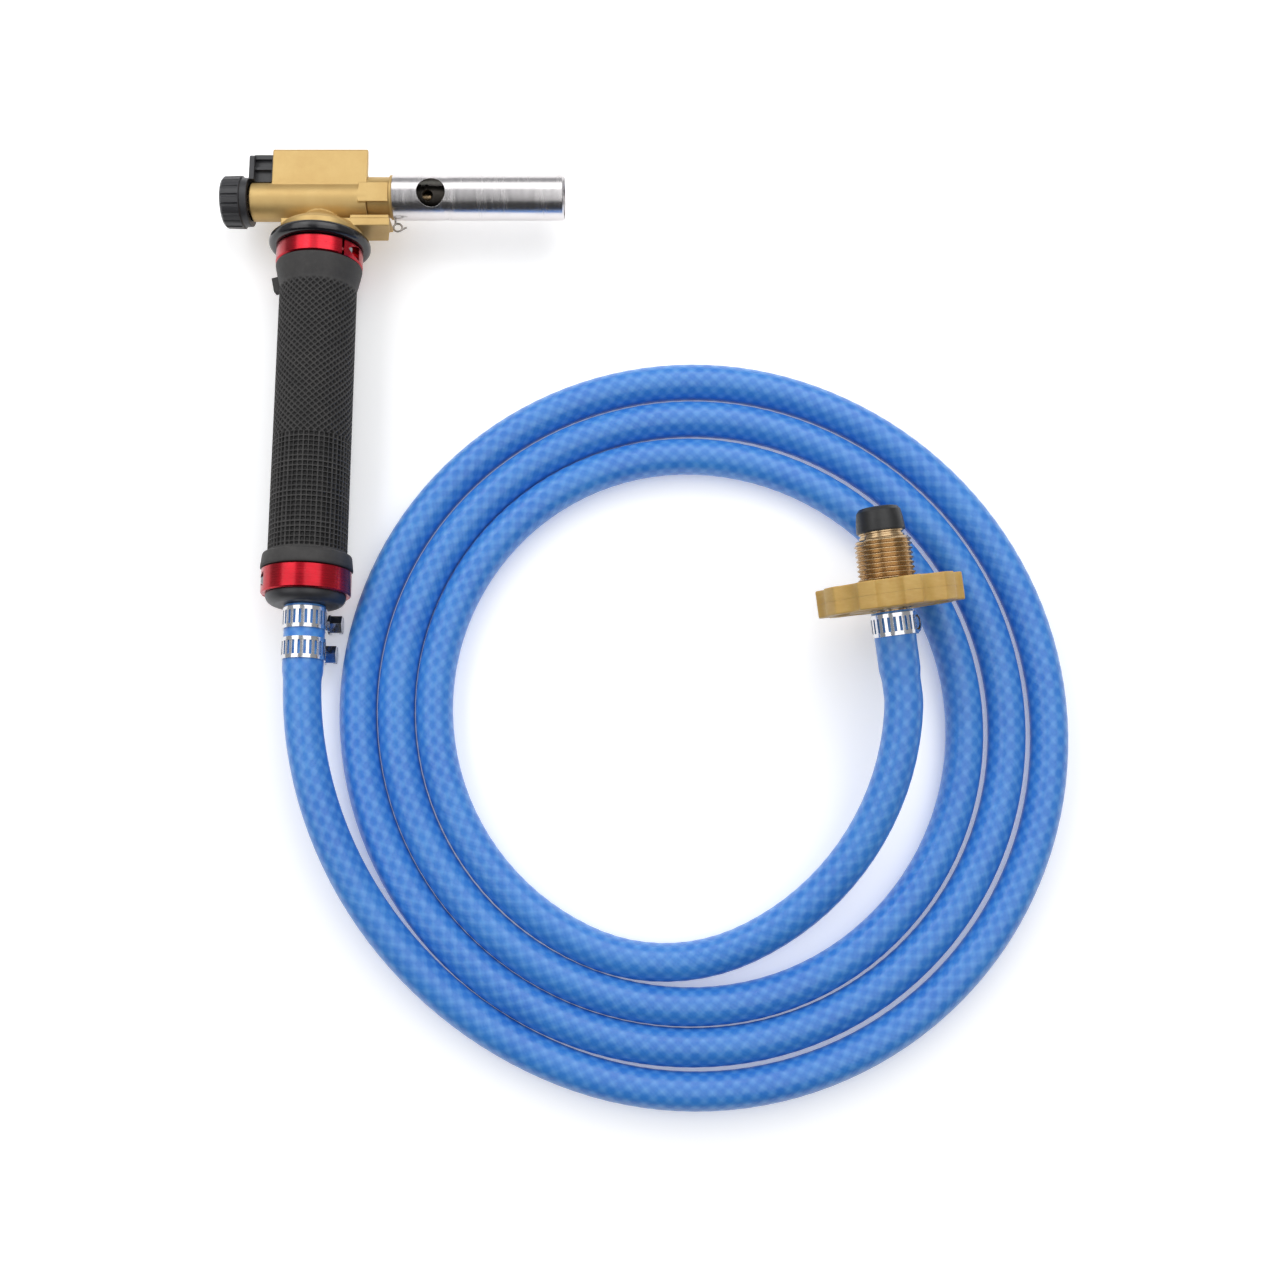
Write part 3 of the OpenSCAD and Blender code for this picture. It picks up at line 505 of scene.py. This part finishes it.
def tread_radius(turns, y):
    """Squares up to about y = 75, diamonds beyond, fading out at both ends."""
    blend = smooth01((y - 75.2) / 1.2)
    fade = smooth01((139.6 - y) / 1.5) * smooth01((y - 30.4) / 0.8)
    relief = square_pits(turns, y) * (1 - blend) + diamond_net(turns, y) * blend
    return GRIP_R + fade * relief


def build_grip():
    count = 400
    angles = 2 * np.pi * np.arange(count) / count
    turns = angles / (2 * np.pi)
    tread = [(tread_radius(turns, y), y) for y in np.arange(30.2, 139.9, 0.245)]
    rows = GRIP_LOW_END + tread + GRIP_HIGH_END
    verts = np.concatenate([
        np.stack([HANDLE_X + radius * np.sin(angles), np.full(count, y),
                  HANDLE_Z + radius * np.cos(angles)], 1) for radius, y in rows])
    grip = mesh_object("grip_tread", (verts + SHIFT) * MM, closed_ring_faces(len(rows), count),
                       "rubber", "torch", sharp_angle=60)
    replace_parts(grip, "grip_rubber")


build_grip()


# ------------------------------------------------------------------ rounded CAD pieces
def remeshed(node, name, voxel_mm, smooth_steps, slot, body):
    """Replace a CAD piece by a copy with softened edges, through a voxel remesh."""
    piece = frame["nodes"][node].copy()
    piece.data = piece.data.copy()
    piece.name = name
    piece.parent = None
    piece.hide_render = False
    bpy.context.scene.collection.objects.link(piece)
    for key in list(piece.keys()):
        del piece[key]
    piece.modifiers.clear()
    bm = bmesh.new()
    bm.from_mesh(piece.data)
    bmesh.ops.remove_doubles(bm, verts=bm.verts, dist=1e-6)
    bm.to_mesh(piece.data)
    bm.free()
    remesh = piece.modifiers.new("remesh", "REMESH")
    remesh.mode = "VOXEL"
    remesh.voxel_size = voxel_mm * MM
    remesh.use_smooth_shade = True
    smooth = piece.modifiers.new("smooth", "SMOOTH")
    smooth.iterations = smooth_steps
    smooth.factor = 0.5
    depsgraph = bpy.context.evaluated_depsgraph_get()
    mesh = bpy.data.meshes.new_from_object(piece.evaluated_get(depsgraph))
    piece.modifiers.clear()
    cad_mesh = piece.data
    piece.data = mesh
    bpy.data.meshes.remove(cad_mesh)
    mesh.name = name
    mesh.materials.clear()
    mesh.materials.append(SLOTS[slot])
    mesh.polygons.foreach_set("use_smooth", [True] * len(mesh.polygons))
    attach(piece, body)
    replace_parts(piece, node)


remeshed("torch_body", "body_casting", voxel_mm=0.26, smooth_steps=4,
         slot="gold_paint", body="torch")
remeshed("hand_wheel", "wheel_moulding", voxel_mm=0.36, smooth_steps=9,
         slot="wheel_plastic", body="coupling")


# ------------------------------------------------------------------ bottle coupling
COUPLING_ORIGIN = np.array([STATES[-1][0], STATES[-1][1], COUPLING_Z]) + SHIFT
COUPLING_X = np.array([math.cos(YAW), math.sin(YAW), 0.0])
COUPLING_AXIS = np.array([-math.sin(YAW) * math.cos(PITCH), math.cos(YAW) * math.cos(PITCH),
                          math.sin(PITCH)])
COUPLING_UP = np.cross(COUPLING_X, COUPLING_AXIS)
WHEEL_OFFSET = 6.2                         # wheel's middle plane, past the hose's end


def coupling_point(x, along, z):
    """A place given from the wheel's centre, along the coupling's own axes."""
    return (COUPLING_ORIGIN + COUPLING_X * x + COUPLING_AXIS * (along + WHEEL_OFFSET)
            + COUPLING_UP * z)


def build_thread():
    """Left-hand thread: columns run round, rows follow the helix, so crests stay clean."""
    pitch, depth, crest_r = 1.81, 1.0, 10.9
    start, end = 5.4, 21.4
    count, rows_per_turn = 120, 12
    root_r = crest_r - depth
    rows = (int((end - start) / pitch) + 3) * rows_per_turn

    def point(radius, along, k):
        angle = 2 * math.pi * k / count
        return coupling_point(radius * math.sin(angle), along, radius * math.cos(angle))

    verts, faces = [], []
    for j in range(rows + 1):
        peak = 1 - 2 * abs((j % rows_per_turn) / rows_per_turn - 0.5)
        profile = min(1.0, max(0.0, (peak - 0.08) / 0.80))
        for k in range(count + 1):
            helix = start - pitch + pitch * (j / rows_per_turn - k / count)
            along = min(end, max(start, helix))
            run_out = min(1.0, (along - start) / 0.9) * min(1.0, (end - along) / 1.1)
            verts.append(point(root_r + depth * profile * run_out, along, k))
    width = count + 1
    for j in range(rows):
        for k in range(count):
            a = j * width + k
            faces.append((a, a + 1, a + width + 1, a + width))
    # end faces, bore and shank: (radius, place along the axis)
    first = len(verts)
    rings = [(root_r, end), (6.08, end), (6.08, -4.3), (10.2, -4.3), (10.2, start),
             (root_r, start)]
    verts += [point(radius, along, k) for radius, along in rings for k in range(count)]
    faces += ring_faces(len(rings), count, first)

    bm = bmesh.new()
    corners = [bm.verts.new(place) for place in (np.array(verts) * MM).tolist()]
    for face in faces:
        bm.faces.new([corners[i] for i in face])
    bmesh.ops.remove_doubles(bm, verts=bm.verts, dist=2e-6)
    bmesh.ops.dissolve_degenerate(bm, edges=bm.edges, dist=1e-6)
    bmesh.ops.recalc_face_normals(bm, faces=bm.faces)
    mesh = bpy.data.meshes.new("bottle_thread")
    bm.to_mesh(mesh)
    bm.free()
    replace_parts(add_object(mesh, "brass", "coupling", sharp_angle=55), "bottle_nut")


build_thread()


def build_parting_line():
    """Thin moulding seam round the hand wheel's rim, following its finger scallops."""
    wheel_r, scallops, scallop_r, count = 27.5, 10, 7.5, 720
    scallop_centre = wheel_r + 4.8
    outline = []
    for i in range(count):
        angle = 2 * math.pi * i / count
        radius = wheel_r
        for k in range(scallops):
            middle = math.radians(k * 360 // scallops + 8)
            off = math.atan2(math.sin(angle - middle), math.cos(angle - middle))
            chord = scallop_r * scallop_r - (scallop_centre * math.sin(off)) ** 2
            if abs(off) < 0.6 and chord > 0:
                radius = min(radius, scallop_centre * math.cos(off) - math.sqrt(chord))
        outline.append((radius, angle))
    # seam section: (outward from the rim, along the axis)
    section = [(-0.25, -0.16), (0.07, -0.09), (0.07, 0.09), (-0.25, 0.16)]
    verts = np.array([
        coupling_point((radius + out) * math.cos(angle), along, -(radius + out) * math.sin(angle))
        for out, along in section for radius, angle in outline]) * MM
    mesh_object("wheel_parting_line", verts, closed_ring_faces(len(section), count),
                "wheel_plastic", "coupling", sharp_angle=40)


build_parting_line()


# ------------------------------------------------------------------ floor, light, camera
def add_floor():
    half, z = 3.0, -0.0004
    mesh = bpy.data.meshes.new("floor")
    mesh.from_pydata([(-half, -half, z), (half, -half, z), (half, half, z), (-half, half, z)],
                     [], [(0, 1, 2, 3)])
    floor = bpy.data.objects.new("floor", mesh)
    bpy.context.scene.collection.objects.link(floor)
    mesh.materials.append(studio_floor())


def add_area_light(name, location, size, power, tilt=0.0):
    light = bpy.data.lights.new(name, "AREA")
    light.shape = "RECTANGLE"
    light.size, light.size_y = size
    light.energy = power
    lamp = bpy.data.objects.new(name, light)
    lamp.location = location
    lamp.rotation_euler = (math.radians(tilt), 0, 0)
    bpy.context.scene.collection.objects.link(lamp)


def add_world():
    """A room bright overhead and towards +Y, dim low down towards -Y."""
    world = bpy.data.worlds.new("studio")
    world.use_nodes = True
    nodes, links = world.node_tree.nodes, world.node_tree.links
    background = nodes["Background"]
    background.inputs["Color"].default_value = (0.95, 0.97, 1.0, 1)
    coordinates = nodes.new("ShaderNodeTexCoord")
    split = nodes.new("ShaderNodeSeparateXYZ")
    strength = nodes.new("ShaderNodeMapRange")
    for key, value in {"From Min": -0.75, "From Max": -0.05,
                       "To Min": 0.04, "To Max": 0.38}.items():
        strength.inputs[key].default_value = value
    links.new(coordinates.outputs["Generated"], split.inputs[0])
    links.new(split.outputs[1], strength.inputs["Value"])
    links.new(strength.outputs[0], background.inputs["Strength"])
    bpy.context.scene.world = world


def add_camera():
    lens = bpy.data.cameras.new("camera")
    lens.sensor_width = 36.0
    lens.lens = 42.1875
    lens.clip_start = 0.01
    camera = bpy.data.objects.new("camera", lens)
    camera.location = (SHIFT[0] * MM, (SHIFT[1] - 109.34) * MM, 0.58995)
    camera.rotation_euler = (math.radians(10.5), 0, 0)
    bpy.context.scene.collection.objects.link(camera)
    bpy.context.scene.camera = camera


add_floor()
add_area_light("soft_left", location=(-0.75, 0.30, 0.80), size=(0.80, 1.7), power=6.4)
add_area_light("soft_right", location=(0.35, 0.30, 0.80), size=(0.80, 1.7), power=5.5)
add_area_light("strip_behind", location=(-0.05, 0.62, 0.62), size=(1.0, 0.5), power=1.7,
               tilt=-42)
add_world()
add_camera()
bpy.context.scene.view_settings.view_transform = "Standard"
